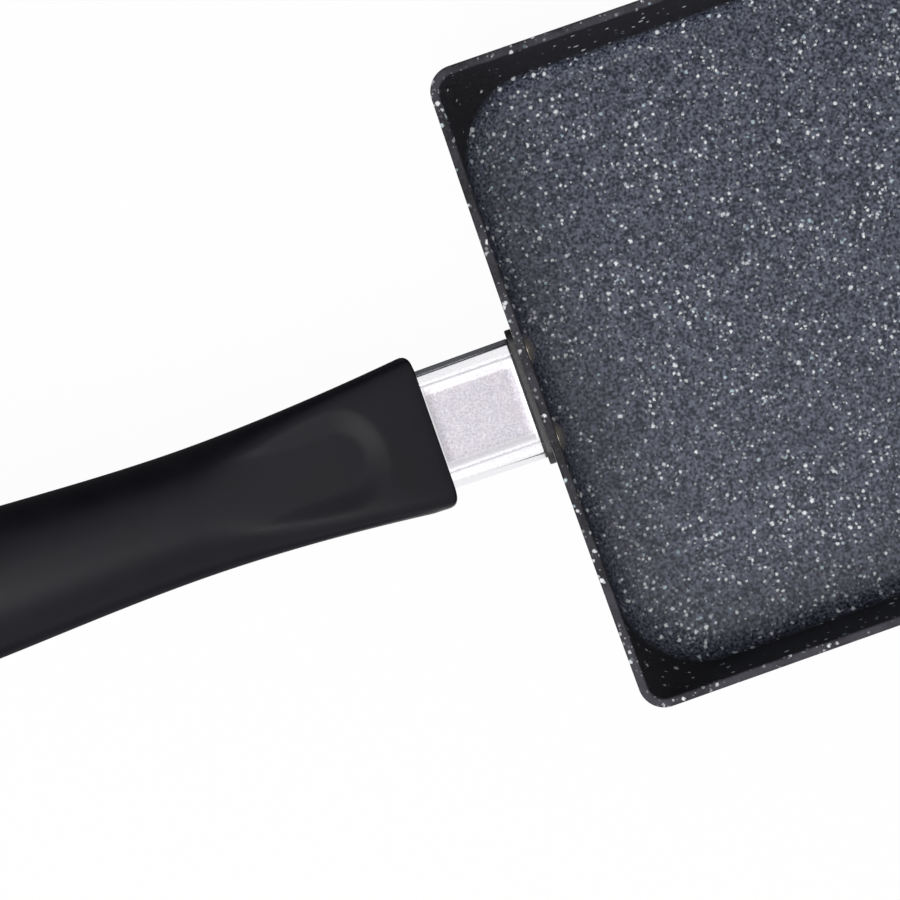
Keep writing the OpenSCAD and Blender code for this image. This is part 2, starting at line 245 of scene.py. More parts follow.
def surface_net(shape: Callable[[np.ndarray], np.ndarray], low: Sequence[float],
                high: Sequence[float], step: float) -> tuple[np.ndarray, np.ndarray]:
    """Meshes the surface where a field is zero, with quads that follow it closely.

    Args:
        shape: Gives the field, negative inside, at rows of points.
        low: Lowest corner of the grid.
        high: Highest corner of the grid.
        step: Size of a cell.

    Returns:
        Points on the surface, and the four vertex numbers of each quad.
    """
    axes = [np.arange(a, b + step, step) for a, b in zip(low, high)]
    grid = np.stack(np.meshgrid(*axes, indexing="ij"), -1)
    value = shape(grid.reshape(-1, 3)).reshape(grid.shape[:3])
    inside = value < 0
    cells = tuple(n - 1 for n in value.shape)
    total, hits = np.zeros(cells + (3,)), np.zeros(cells)
    crossed = []
    for axis in range(3):
        field, place, sums, count = (np.moveaxis(k, axis, 0) for k in (value, grid, total, hits))
        a, b = field[:-1], field[1:]
        change = (a < 0) != (b < 0)
        place = place[:-1].copy()
        place[..., axis] += np.where(change, a / np.where(change, a - b, 1), 0) * step
        crossed.append(change)
        for i, k in product((0, 1), repeat=2):
            part = (slice(None), slice(i, i + count.shape[1]), slice(k, k + count.shape[2]))
            sums += np.where(change[part][..., None], place[part], 0)
            count += change[part]
    used = hits > 0
    number = np.full(cells, -1)
    number[used] = np.arange(used.sum())
    points = total[used] / hits[used][:, None]
    quads = []
    for axis, change in enumerate(crossed):
        ours, within = np.moveaxis(number, axis, 0), np.moveaxis(inside, axis, 0)
        at = np.argwhere(change)
        at = at[(at[:, 1:] > 0).all(1) & (at[:, 1:] < ours.shape[1:]).all(1)]
        quad = np.stack([ours[at[:, 0], at[:, 1] + i, at[:, 2] + k]
                         for i, k in ((-1, -1), (0, -1), (0, 0), (-1, 0))], 1)
        turned = within[tuple(at.T)] == (axis == 1)
        quad[turned] = quad[turned][:, ::-1]
        quads.append(quad)
    for _ in range(4):
        points = pull_onto(shape, points, step)
    return points, np.concatenate(quads)


def pull_onto(shape: Callable[[np.ndarray], np.ndarray], points: np.ndarray,
              step: float) -> np.ndarray:
    """Moves points onto the surface along the field's slope.

    Args:
        shape: Gives the field at rows of points.
        points: Points near the surface.
        step: Size of a cell; a point moves by half of it at most.

    Returns:
        The moved points.
    """
    d = 0.02
    slope = np.stack([(shape(points + d * e) - shape(points - d * e)) / (2 * d)
                      for e in np.eye(3)], 1)
    steep = (slope ** 2).sum(1)
    move = slope * (shape(points) / np.maximum(steep, 1e-6))[:, None]
    length = np.linalg.norm(move, axis=1, keepdims=True)
    return points - move * np.minimum(1, step / 2 / np.maximum(length, 1e-9))


# Materials


class Graph:
    """Adds and links the nodes of one node tree."""

    def __init__(self, tree: bpy.types.NodeTree) -> None:
        """Takes the tree that the nodes go into."""
        self.tree = tree

    def add(self, kind: str, *values: SocketLike, **settings: object) -> bpy.types.Node:
        """Adds a node.

        Args:
            kind: Its type.
            values: What its inputs get, in their order.
            settings: What its properties get, by name.

        Returns:
            The node.
        """
        made = self.tree.nodes.new(kind)
        for name, value in settings.items():
            setattr(made, name, value)
        for target, value in zip(made.inputs, values):
            self.put(target, value)
        return made

    def find(self, kind: str) -> bpy.types.Node:
        """The first node of a type that the tree already has."""
        return next(n for n in self.tree.nodes if n.type == kind)

    def put(self, target: Socket, value: SocketLike) -> None:
        """Links a socket to the target, or sets the target's own value.

        Args:
            target: Input of a node.
            value: A socket, a number, a vector or a colour.
        """
        if isinstance(value, bpy.types.NodeSocket):
            self.tree.links.new(value, target)
        elif isinstance(value, tuple) and target.type == "RGBA":
            target.default_value = (*value, 1.0)
        else:
            target.default_value = value

    def math(self, operation: str, a: SocketLike, b: SocketLike = 0.0,
             clamp: bool = False) -> Socket:
        """Result of a Math node."""
        return self.add("ShaderNodeMath", a, b, operation=operation, use_clamp=clamp).outputs[0]

    def times(self, a: SocketLike, b: SocketLike) -> Socket:
        """Product of two values."""
        return self.math("MULTIPLY", a, b)

    def plus(self, a: SocketLike, b: SocketLike) -> Socket:
        """Sum of two values."""
        return self.math("ADD", a, b)

    def vector(self, operation: str, a: SocketLike, b: SocketLike) -> Socket:
        """Result of a Vector Math node.

        Args:
            operation: What the node does.
            a: Its first vector.
            b: Its second vector, or a factor for SCALE.

        Returns:
            The vector that it gives.
        """
        made = self.add("ShaderNodeVectorMath", a, operation=operation)
        self.put(made.inputs["Scale" if operation == "SCALE" else 1], b)
        return made.outputs[0]

    def mix(self, factor: SocketLike, a: SocketLike, b: SocketLike) -> Socket:
        """Colour between two colours.

        Args:
            factor: 0 for the first and 1 for the second.
            a: The first colour.
            b: The second colour.

        Returns:
            The mixed colour.
        """
        made = self.add("ShaderNodeMix", factor, data_type="RGBA")
        for target, colour in zip(made.inputs[6:8], (a, b)):
            self.put(target, colour)
        return made.outputs[2]

    def span(self, value: SocketLike, low: float, high: float, to_low: SocketLike = 0.0,
             to_high: SocketLike = 1.0) -> Socket:
        """Maps a value from one span onto another, held at both ends."""
        return self.add("ShaderNodeMapRange", value, low, high, to_low, to_high).outputs[0]

    def noise(self, place: Socket, size: float, detail: float = 2.0, roughness: float = 0.5,
              seed: float | None = 0.0) -> Socket:
        """Noise about 0.5.

        Args:
            place: Where it is taken.
            size: Size of its blobs, in the unit of the place.
            detail: How many finer layers it has.
            roughness: How strong these are.
            seed: Which of many such patterns it is, or None for noise without that choice.

        Returns:
            Its value.
        """
        made = self.add("ShaderNodeTexNoise", noise_dimensions="3D" if seed is None else "4D")
        fed = {"Vector": place, "Scale": 1 / size, "Detail": detail, "Roughness": roughness}
        if seed is not None:
            fed["W"] = seed
        for label, value in fed.items():
            self.put(made.inputs[label], value)
        return made.outputs["Fac"]

    def separate(self, value: Socket) -> Sockets:
        """X, Y and Z of a vector."""
        return self.add("ShaderNodeSeparateXYZ", value).outputs

    def group(self, tree: bpy.types.NodeTree, **values: SocketLike) -> Sockets:
        """Adds a node group.

        Args:
            tree: The group.
            values: What its inputs get, by name.

        Returns:
            Its outputs.
        """
        made = self.add("ShaderNodeGroup", node_tree=tree)
        for name, value in values.items():
            self.put(made.inputs[name], value)
        return made.outputs


def new_group(name: str, inputs: dict[str, float | None],
              outputs: Sequence[str]) -> tuple[Graph, Sockets, Sockets]:
    """Makes an empty shader node group.

    Args:
        name: Name of the group.
        inputs: Starting value of each input, or None where it takes a vector.
        outputs: Names of the values that it gives.

    Returns:
        The group's graph, what it is given and where its results go.
    """
    tree = bpy.data.node_groups.new(name, "ShaderNodeTree")
    for label, value in inputs.items():
        kind = "NodeSocketVector" if value is None else "NodeSocketFloat"
        made = tree.interface.new_socket(label, in_out="INPUT", socket_type=kind)
        if value is not None:
            made.default_value = value
    for label in outputs:
        tree.interface.new_socket(label, in_out="OUTPUT", socket_type="NodeSocketFloat")
    graph = Graph(tree)
    return graph, graph.add("NodeGroupInput").outputs, graph.add("NodeGroupOutput").inputs


class Effects:
    """Node groups that more than one material uses, each built once."""

    def __init__(self) -> None:
        """Builds the groups."""
        self.flecks = self.build_flecks()
        self.grain = self.build_grain()
        self.scratches = self.build_scratches()

    @staticmethod
    def build_flecks() -> bpy.types.NodeTree:
        """Flecks with ragged outlines, of random size, strength and presence.

        Returns:
            The node group.
        """
        g, given, out = new_group(
            "flecks", {"Place": None, "Cell": 0.002, "Radius": 0.3, "Share": 0.3, "Ragged": 0.2,
                       "Soft": 0.05}, ("Mask", "Tone", "Tint"))
        scaled = g.vector("SCALE", given["Place"], g.math("DIVIDE", 1.0, given["Cell"]))
        wobble = g.noise(scaled, 1 / 3.1, 1.0, seed=None).node.outputs["Color"]
        shift = g.vector("SCALE", g.vector("SUBTRACT", wobble, (0.5, 0.5, 0.5)), given["Ragged"])
        cells = g.add("ShaderNodeTexVoronoi", g.vector("ADD", scaled, shift),
                      voronoi_dimensions="3D", feature="F1")
        cells.inputs["Scale"].default_value = 1.0
        chance, strength, size = g.separate(cells.outputs["Color"])
        radius = g.times(given["Radius"], g.span(size, 0, 1, 0.55, 1.0))
        edge = g.math("SUBTRACT", radius, cells.outputs["Distance"])
        solid = g.math("DIVIDE", edge, given["Soft"], clamp=True)
        g.put(out["Mask"], g.times(solid, g.math("LESS_THAN", chance, given["Share"])))
        g.put(out["Tone"], strength)
        g.put(out["Tint"], g.math("FRACT", g.times(size, 7.3)))
        return g.tree

    @staticmethod
    def build_grain() -> bpy.types.NodeTree:
        """Fine even grain with a slow drift, for moulded and blasted surfaces.

        Returns:
            The node group.
        """
        g, given, out = new_group("grain", {"Place": None, "Size": 0.0003}, ("Fine", "Drift"))
        scaled = g.vector("SCALE", given["Place"], g.math("DIVIDE", 1.0, given["Size"]))
        g.put(out["Fine"], g.noise(scaled, 1.0, 2.0, seed=None))
        g.put(out["Drift"], g.noise(scaled, 50.0, 3.0, seed=None))
        return g.tree

    @staticmethod
    def build_scratches() -> bpy.types.NodeTree:
        """Hairlines drawn out along X of the given place.

        Returns:
            The node group.
        """
        g, given, out = new_group(
            "scratches", {"Place": None, "Fine": 0.0002, "Stretch": 40.0}, ("Line",))
        x, y, z = g.separate(given["Place"])
        drawn = g.add("ShaderNodeCombineXYZ", g.math("DIVIDE", x, given["Stretch"]), y, z)
        scaled = g.vector("SCALE", drawn.outputs[0], g.math("DIVIDE", 1.0, given["Fine"]))
        g.put(out["Line"], g.noise(scaled, 1.0, 3.0, seed=None))
        return g.tree

@dataclass(frozen=True)
class Finish:
    """What every finish has: a name, the groups it draws on and the depth of its relief."""

    name: str
    effects: Effects
    # depth in metres of the height's full span, and how strongly it shows
    relief: ClassVar[tuple[float, float]] = (0.00003, 0.5)

    def look(self, g: Graph, place: Socket) -> dict[str, SocketLike]:
        """Builds what the finish looks like.

        Args:
            g: The material's graph.
            place: Place on the object, in metres of the row frame.

        Returns:
            What the shader's inputs get, by name, and Height where the finish has a relief.
        """
        raise NotImplementedError

    def build(self) -> bpy.types.Material:
        """Builds the material.

        Returns:
            The material, with the finish's look on its own shader.
        """
        made = bpy.data.materials.new(self.name)
        made.use_nodes = True
        g = Graph(made.node_tree)
        look = self.look(g, g.add("ShaderNodeTexCoord").outputs["Object"])
        if "Height" in look:
            bump = g.add("ShaderNodeBump")
            for label, value in zip(("Distance", "Strength", "Height"),
                                    (*self.relief, look.pop("Height"))):
                g.put(bump.inputs[label], value)
            look["Normal"] = bump.outputs[0]
        shader = g.find("BSDF_PRINCIPLED")
        for label, value in look.items():
            g.put(shader.inputs[label], value)
        return made


@dataclass(frozen=True)
class StoneCoating(Finish):
    """Dark slate non-stick coating with white flecks, painted shade on its walls and a painted
    highlight on its rim; the turned rings below are bare.
    """

    relief = (0.00006, 0.7)
    dark: Colour = (0.0100, 0.0130, 0.0250)
    light: Colour = (0.1440, 0.1540, 0.2050)
    # painted shade: walls above the height span below, and faces that point down, take these darker
    # colours in place of the floor's
    painted_shade_dark: Colour = (0.0040, 0.0038, 0.0044)
    painted_shade_light: Colour = (0.0290, 0.0285, 0.0335)
    painted_shade_from: tuple[float, float] = (0.0050, 0.0078)
    rim_from: float = 0.0352
    # painted highlight: the rim is lifted toward this lighter grey in uneven patches
    rim_highlight: Colour = (0.110, 0.108, 0.135)
    fleck: Colour = (0.95, 0.97, 1.00)
    teal: Colour = (0.44, 0.60, 0.68)
    gloss: float = 0.20
    # cell in metres, radius in cells, share of cells with a fleck, strength at least and at most
    layers: tuple[tuple[float, float, float, float, float], ...] = (
        (0.00215, 0.345, 0.44, 0.78, 1.00),
        (0.00165, 0.345, 0.40, 0.20, 0.80),
        (0.00110, 0.380, 0.36, 0.08, 0.40),
    )
    layer_shift: tuple[float, float, float] = (0.013, 0.007, 0.003)
    # first radius, half the step, half the width and outer limit of the turned rings, in metres
    rings: tuple[float, float, float, float] = (0.014, 0.0045, 0.0007, 0.0620)
    metal: tuple[Colour, Colour] = ((0.52, 0.52, 0.53), (0.66, 0.66, 0.67))

    def look(self, g: Graph, place: Socket) -> dict[str, SocketLike]:
        """Mottled slate on the floor, painted shade on the walls, a rim lifted lighter in patches as
        a painted highlight, flecks and bare rings below.

        Args:
            g: The material's graph.
            place: Place on the object, in metres of the row frame.

        Returns:
            What the shader's inputs get, by name, and Height where the finish has a relief.
        """
        mottle = g.noise(place, 0.00066, 0.0)
        drift = g.noise(place, 0.010, seed=2.0)
        tone = g.plus(g.times(mottle, 0.96), g.times(drift, 0.04))
        x, y, z = g.separate(place)
        outward = g.separate(g.add("ShaderNodeNewGeometry").outputs["Normal"])[2]
        # painted shade mask: 1 on walls above the height span and on faces that point down
        wall = g.math("MAXIMUM", g.span(z, *self.painted_shade_from), g.math("LESS_THAN", outward, 0.0))
        shade = g.math("POWER", g.span(tone, 0.28, 0.72), 1.25)
        colour = g.mix(wall, g.mix(shade, self.dark, self.light),
                       g.mix(shade, self.painted_shade_dark, self.painted_shade_light))
        # painted highlight: the rim is lifted toward a lighter grey, in uneven patches over the
        # painted shade
        rim = g.math("GREATER_THAN", z, self.rim_from)
        patchy = g.span(drift, 0.35, 0.60, 0.06, 0.42)
        colour = g.mix(g.times(rim, patchy), colour, self.rim_highlight)
        inside = g.math("SUBTRACT", wall, rim)
        crowd = g.span(g.noise(place, 0.007, 2.0, 0.6, 5.0), 0.38, 0.62, 0.3, 1.8)
        sprayed = g.vector("MULTIPLY", place, (1.0, 1.0, 0.55))
        height: SocketLike = mottle
        for i, (cell, radius, share, low, high) in enumerate(self.layers):
            thinned = g.times(inside, 1.3 if i else 0.45)
            flecks = g.group(
                self.effects.flecks, Cell=cell, Radius=radius, Ragged=0.30, Soft=0.11,
                Place=g.vector("ADD", sprayed, tuple(k * (i + 1) for k in self.layer_shift)),
                Share=g.times(share, g.math("SUBTRACT", crowd, thinned)))
            strength = g.times(flecks["Mask"], g.span(flecks["Tone"], 0, 1, low, high))
            hue = g.mix(g.span(flecks["Tint"], 0.80, 1.00), self.fleck, self.teal)
            colour = g.mix(strength, colour, hue)
            height = g.plus(height, g.times(strength, 0.6))
        middle = g.math("SQRT", g.plus(g.math("POWER", x, 2.0), g.math("POWER", y, 2.0)))
        bare = self.turned(g, middle, z)
        lines = g.math("SINE", g.times(middle, 9000.0))
        satin = g.span(mottle, 0.3, 0.7, 0.38, 0.46)
        rough = g.plus(g.times(wall, 0.18), g.math("SUBTRACT", satin, g.times(bare, 0.12)))
        return {"Base Color": g.mix(bare, colour, g.mix(g.span(lines, -1, 1), *self.metal)),
                "Metallic": bare, "Roughness": rough, "Specular IOR Level": self.gloss,
                "Height": height}

    def turned(self, g: Graph, middle: Socket, z: Socket) -> Socket:
        """Where the rings under the base were turned through the coating.

        Args:
            g: The material's graph.
            middle: Distance from the pan's middle, seen from above.
            z: Height.

        Returns:
            1 on the rings and 0 elsewhere.
        """
        first, half_step, half_width, last = self.rings
        ring = g.math("PINGPONG", g.math("SUBTRACT", middle, first), half_step)
        mask = g.times(g.math("LESS_THAN", z, 0.00050), g.math("GREATER_THAN", z, 0.00004))
        mask = g.times(mask, g.math("LESS_THAN", middle, last))
        return g.times(mask, g.math("LESS_THAN", ring, half_width))


@dataclass(frozen=True)
class SatinSteel(Finish):
    """Polished sheet steel; the panel between its grooves is blasted to a sparkling satin."""
    relief = (0.00003, 0.8)
    sheet: Colour = (0.92, 0.92, 0.94)
    dull: Colour = (0.84, 0.83, 0.87)
    panel: Colour = (0.425, 0.412, 0.462)
    rose: Colour = (0.478, 0.435, 0.468)
    glint: Colour = (0.86, 0.85, 0.90)
    # darker grey painted along the groove
    groove_grey: Colour = (0.28, 0.28, 0.30)

    def look(self, g: Graph, place: Socket) -> dict[str, SocketLike]:
        """Blasted or polished, as the zones attribute says: how sunk, grooved and level it is.

        Args:
            g: The material's graph.
            place: Place on the object, in metres of the row frame.

        Returns:
            What the shader's inputs get, by name, and Height where the finish has a relief.
        """
        zones = g.add("ShaderNodeAttribute", attribute_name="zones")
        sunk, groove, level = g.separate(zones.outputs["Vector"])
        blasted = g.math("MAXIMUM", g.span(sunk, 0.70, 0.97), g.times(level, 0.42))
        patch = g.noise(place, 0.0030, 3.0, 0.65)
        fine = g.group(self.effects.grain, Place=place, Size=0.00050)["Fine"]
        spark = g.group(self.effects.flecks, Place=place, Cell=0.0013, Radius=0.26, Share=0.45,
                        Ragged=0.35, Soft=0.12)
        satin = g.mix(g.span(patch, 0.36, 0.64), self.panel, self.rose)
        satin = g.mix(g.span(fine, 0.35, 0.75, 0.0, 0.45), satin, self.glint)
        sparkle = g.times(spark["Mask"], g.span(spark["Tone"], 0, 1, 0.1, 0.9))
        satin = g.mix(sparkle, satin, self.glint)
        line = g.group(self.effects.scratches, Place=place, Fine=0.00020, Stretch=30.0)["Line"]
        colour = g.mix(blasted, g.mix(g.span(line, 0.35, 0.65), self.dull, self.sheet), satin)
        broken = g.noise(place, 0.0016, 1.0, seed=3.0)
        # the groove is painted a darker grey, broken by noise
        groove_grey = g.times(groove, g.span(broken, 0.35, 0.6, 0.10, 0.28))
        rough = g.plus(g.span(line, 0.3, 0.7, 0.16, 0.24), g.times(blasted, 0.26))
        return {"Base Color": g.mix(groove_grey, colour, self.groove_grey), "Metallic": 1.0,
                "Roughness": rough, "Height": g.times(fine, blasted)}


@dataclass(frozen=True)
class MouldedGrip(Finish):
    """Matte black moulded resin with the fine grain of its mould."""

    dark: Colour = (0.0040, 0.0036, 0.0062)
    light: Colour = (0.0066, 0.0060, 0.0098)
    gloss: float = 0.18

    def look(self, g: Graph, place: Socket) -> dict[str, SocketLike]:
        """Black with a slow drift of tone under the grain.

        Args:
            g: The material's graph.
            place: Place on the object, in metres of the row frame.

        Returns:
            What the shader's inputs get, by name, and Height where the finish has a relief.
        """
        grain = g.group(self.effects.grain, Place=place, Size=0.00024)
        tone = g.plus(g.times(grain["Drift"], 0.7), g.times(grain["Fine"], 0.3))
        return {"Base Color": g.mix(g.span(tone, 0.35, 0.65), self.dark, self.light),
                "Roughness": g.span(tone, 0.3, 0.7, 0.35, 0.42),
                "Specular IOR Level": self.gloss, "Height": grain["Fine"]}


@dataclass(frozen=True)
class BracketPaint(Finish):
    """Satin black paint, greyed where it was rubbed."""

    relief = (0.00004, 0.5)
    paint: Colour = (0.012, 0.012, 0.013)
    rubbed: Colour = (0.040, 0.040, 0.045)

    def look(self, g: Graph, place: Socket) -> dict[str, SocketLike]:
        """Black paint with rubbed spots and a fine grain.

        Args:
            g: The material's graph.
            place: Place on the object, in metres of the row frame.

        Returns:
            What the shader's inputs get, by name, and Height where the finish has a relief.
        """
        mottle = g.noise(place, 0.0012, 4.0, 0.7)
        grain = g.group(self.effects.grain, Place=place, Size=0.0003)
        return {"Base Color": g.mix(g.span(mottle, 0.48, 0.66), self.paint, self.rubbed),
                "Roughness": g.span(grain["Fine"], 0.3, 0.7, 0.38, 0.52), "Height": mottle}


@dataclass(frozen=True)
class TurnedMetal(Finish):
    """Bare or plated metal with fine grain, hairlines and a slow change of tint."""
    relief = (0.00001, 0.6)
    base: Colour
    tint: Colour
    rough: tuple[float, float]

    def look(self, g: Graph, place: Socket) -> dict[str, SocketLike]:
        """Two tints that change slowly, with hairlines in colour and roughness.

        Args:
            g: The material's graph.
            place: Place on the object, in metres of the row frame.

        Returns:
            What the shader's inputs get, by name, and Height where the finish has a relief.
        """
        grain = g.group(self.effects.grain, Place=place, Size=0.00015)
        line = g.group(self.effects.scratches, Place=place, Fine=0.00010, Stretch=12.0)["Line"]
        patchy = g.plus(g.times(grain["Drift"], 0.6), g.times(line, 0.4))
        return {"Base Color": g.mix(g.span(patchy, 0.35, 0.65), self.base, self.tint),
                "Metallic": 1.0, "Roughness": g.span(line, 0.3, 0.7, *self.rough),
                "Height": grain["Fine"]}


@dataclass(frozen=True)
class StagePaint(Finish):
    """Matte paint of floor and cards, which drifts between two shades."""

    shades: tuple[Colour, Colour]
    size: float
    rough: float

    def look(self, g: Graph, place: Socket) -> dict[str, SocketLike]:
        """Two shades without gloss."""
        return {"Base Color": g.mix(g.noise(place, self.size), *self.shades),
                "Roughness": self.rough, "Specular IOR Level": 0.0}


# The object's pieces


@dataclass
class Piece:
    """One piece of the object, with the node it stands for and its finish."""

    name: str
    node: str
    slot: Slot
    material: bpy.types.Material

    def mesh(self) -> bpy.types.Object:
        """Builds the piece's mesh object."""
        raise NotImplementedError

    def make(self) -> bpy.types.Object:
        """Builds the piece, dresses it and hands it to its body.

        Returns:
            The finished object.
        """
        made = self.mesh()
        made.data.materials.clear()
        made.data.materials.append(self.material)
        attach(made, BODY)
        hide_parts(self.node)
        log.info("%s: %d faces, for node %s", self.name, len(made.data.polygons), self.node)
        return made


@dataclass
class PanBody(Piece):
    """The pressed pan: leaning walls, a soft fillet to the floor and rings turned below."""

    rim_length: float = 180.0
    rim_width: float = 150.0
    height: float = 36.0
    rim_corner_r: float = 5.8
    end_bow: float = 0.57
    rim_round: float = 0.5
    wall_t: float = 2.0
    floor_t: float = 3.0
    lean: float = math.radians(4)
    fillet_r: float = 5.0
    floor_corner_r: float = 22.5
    ring_first_r: float = 14.0
    ring_step: float = 9.0
    ring_w: float = 1.2
    ring_depth: float = 0.4
    ring_side: float = 0.15
    ring_limit: float = 65.4
    corner_steps: int = 20
    side_steps: int = 18
    fillet_steps: int = 14
    rim_steps: int = 6
    wall_steps: int = 6

    def arc(self, z: float, r: float, back: float, side: int, start: float, end: float,
            steps: int) -> np.ndarray:
        """Arc of the section that touches a leaning wall.

        Args:
            z: Height of its centre.
            r: Its radius.
            back: How far the wall lies behind the pan's outer face.
            side: 1 where the centre lies inward of the wall, or -1.
            start: Angle at its start in degrees.
            end: Angle at its end in degrees.
            steps: Number of its steps.

        Returns:
            Rows of (inset, height).
        """
        inset = (back + (self.height - z + side * r * math.sin(self.lean)) * math.tan(self.lean)
                 + side * r * math.cos(self.lean))
        a = np.radians(np.linspace(start, end, steps + 1))
        return np.stack([inset - r * np.cos(a), z + r * np.sin(a)], 1)

    def corner(self, z: np.ndarray, inner: bool) -> np.ndarray:
        """Corner radius of the outside or inside at a height.

        Args:
            z: Height.
            inner: Whether it is the inside.

        Returns:
            The radius at each height.
        """
        top = self.rim_corner_r - (self.wall_t if inner else 0)
        low = self.floor_corner_r + (0 if inner else self.wall_t)
        foot = self.floor_t if inner else 0
        return top + (low - top) * (self.height - z) / (self.height - foot)

    def section(self) -> np.ndarray:
        """The wall's section.

        Returns:
            Rows of (inset, height, corner radius), from the base over the rim to the floor.
        """
        lean, r = math.degrees(self.lean), self.fillet_r
        rim = (self.height - self.rim_round, self.rim_round)
        outer = self.arc(r, r, 0, 1, -90, -lean, self.fillet_steps)
        rim_out = self.arc(*rim, 0, 1, -lean, 90, self.rim_steps)
        rim_in = self.arc(*rim, self.wall_t, -1, 90, 180 - lean, self.rim_steps)
        inner = self.arc(self.floor_t + r, r, self.wall_t, 1, -lean, -90, self.fillet_steps)
        share = np.linspace(0, 1, self.wall_steps + 2)[1:-1, None]
        outside = np.concatenate([outer, outer[-1] + (rim_out[0] - outer[-1]) * share])
        over = np.concatenate([rim_out, rim_in])
        inside = np.concatenate([rim_in[-1] + (inner[0] - rim_in[-1]) * share, inner])
        radius = np.concatenate([self.corner(outside[:, 1], False), self.rim_corner_r - over[:, 0],
                                 self.corner(inside[:, 1], True)])
        return np.column_stack([np.concatenate([outside, over, inside]), radius])

    def ring(self, inset: float, z: float, r: float) -> np.ndarray:
        """One level outline of the pan, with bowed ends.

        Args:
            inset: How far it lies inside the rim's outline.
            z: Its height.
            r: Radius of its corners.

        Returns:
            Rows of (x, y, z).
        """
        half_x, half_y = self.rim_length / 2, self.rim_width / 2
        x, y = rounded_rectangle(half_x - inset, half_y - inset, r, self.corner_steps,
                                 self.side_steps).T
        bow = 1 + self.end_bow / half_x * (1 - (y / half_y) ** 2)
        return np.stack([x * bow, y, np.full(len(x), z)], 1)

    def base_rings(self, outline: np.ndarray) -> list[np.ndarray]:
        """Rings from the middle of the base outward, with the turned grooves.

        Args:
            outline: The outline of the base.

        Returns:
            The rings, each with its points in line with the outline's.
        """
        angle = np.arctan2(outline[:, 1], outline[:, 0])
        steps = [(self.ring_first_r / 2, 0)]
        for r in np.arange(self.ring_first_r, self.ring_limit, self.ring_step):
            a, b = r - self.ring_w / 2, r + self.ring_w / 2
            steps += [(a, 0), (a + self.ring_side, self.ring_depth),
                      (b - self.ring_side, self.ring_depth), (b, 0)]
        rings = [np.stack([r * np.cos(angle), r * np.sin(angle), np.full(len(angle), z)], 1)
                 for r, z in steps]
        return rings + [rings[-1] + (outline - rings[-1]) * 0.85]

    def mesh(self) -> bpy.types.Object:
        """Builds the pan from its base's middle, over the rim, to its floor's middle.

        Returns:
            The piece's object.
        """
        rings = [self.ring(*row) for row in self.section()]
        floor = [rings[-1] * (k, k, 1) for k in (0.985, 0.6, 0.2)]
        shell = Shell()
        shell.loft(self.base_rings(rings[0]) + rings + floor)
        return shell.build(self.name, 50)


@dataclass
class Rivets(Piece):
    """Two rivets with low domes inside the pan and tails set flush in the flange."""

    pitch: float = 20.6
    shank_r: float = 2.0
    head_r: float = 3.8
    head_h: float = 1.7
    seat_wall: float = 2.0077
    flange_t: float = 1.5
    sink: float = 1.2
    rim_h: float = 0.12
    rim_soft: float = 0.08
    around: int = 64
    dome_steps: int = 14

    def profile(self) -> np.ndarray:
        """Half section, from the dome's tip to the tail.

        Returns:
            Rows of (radius, distance from the wall's outer face).
        """
        dome_r = (self.head_r ** 2 + self.head_h ** 2) / (2 * self.head_h)
        reach = math.asin(self.head_r / dome_r)
        a = np.linspace(0.04, 1, self.dome_steps) * reach
        dome = np.stack([dome_r * np.sin(a),
                         -self.seat_wall - self.head_h + dome_r * (1 - np.cos(a))], 1)
        dome[-1] = (self.head_r, -self.seat_wall - self.rim_h)
        tail = [(self.head_r, -self.seat_wall - self.rim_h / 4),
                (self.head_r - self.rim_soft, -self.seat_wall), (self.shank_r, -self.seat_wall),
                (self.shank_r, self.flange_t - self.sink),
                (self.shank_r + self.sink, self.flange_t)]
        return np.concatenate([dome, tail])

    def mesh(self) -> bpy.types.Object:
        """Builds both rivets as one object of two solids.

        Returns:
            The piece's object.
        """
        shell = Shell()
        a = np.linspace(0, 2 * np.pi, self.around, endpoint=False)
        for side in (-1, 1):
            shell.loft([SEAT.place(out, r * np.cos(a), r * np.sin(a) + side * self.pitch / 2)
                        for r, out in self.profile()])
        return shell.build(self.name, 35)


@dataclass
class Bracket(Piece):
    """The bracket: a flange against the wall and the hollow stem that carries the grip."""

    flange_w: float = 31.5
    flange_h: float = 20.0
    flange_t: float = 1.5
    flange_r: float = 3.5
    bevel: float = 0.35
    stem_w: float = 12.6
    stem_h: float = 13.0
    stem_wall: float = 1.6
    stem_end: float = 47.5
    stem_r: float = 0.8
    stem_bite: float = 0.3
    def flange(self, inset: float, out: float) -> np.ndarray:
        """The flange's outline drawn in by an inset, at a distance from the wall.

        Args:
            inset: How far the outline is drawn in.
            out: Distance from the wall.

        Returns:
            Points along the outline.
        """
        up, across = rounded_rectangle(self.flange_h / 2 - inset, self.flange_w / 2 - inset,
                                       self.flange_r - inset, 10).T
        return SEAT.place(out, up, across)

    def mesh(self) -> bpy.types.Object:
        """Builds the flange with softened edges and the stem that runs into the grip.

        Returns:
            The piece's object.
        """
        shell = Shell()
        bevels = [(self.bevel * (1 - math.cos(a)), self.flange_t - self.bevel * (1 - math.sin(a)))
                  for a in np.radians(np.linspace(0, 90, 5))]
        shell.loft([self.flange(*row) for row in [(0, 0)] + bevels])
        stem = []
        for grow, end in ((0.0, False), (0.0, True), (-self.stem_wall, True),
                          (-self.stem_wall, False)):
            up, across = rounded_rectangle(self.stem_h / 2 + grow, self.stem_w / 2 + grow,
                                           self.stem_r, 5).T
            along = np.full(len(up), self.stem_end) if end else up * WALL_TILT - self.stem_bite
            stem.append(HANDLE.to_world(np.stack([along, across, up], 1)))
        shell.loft(stem, closed=True)
        return shell.build(self.name, 35)


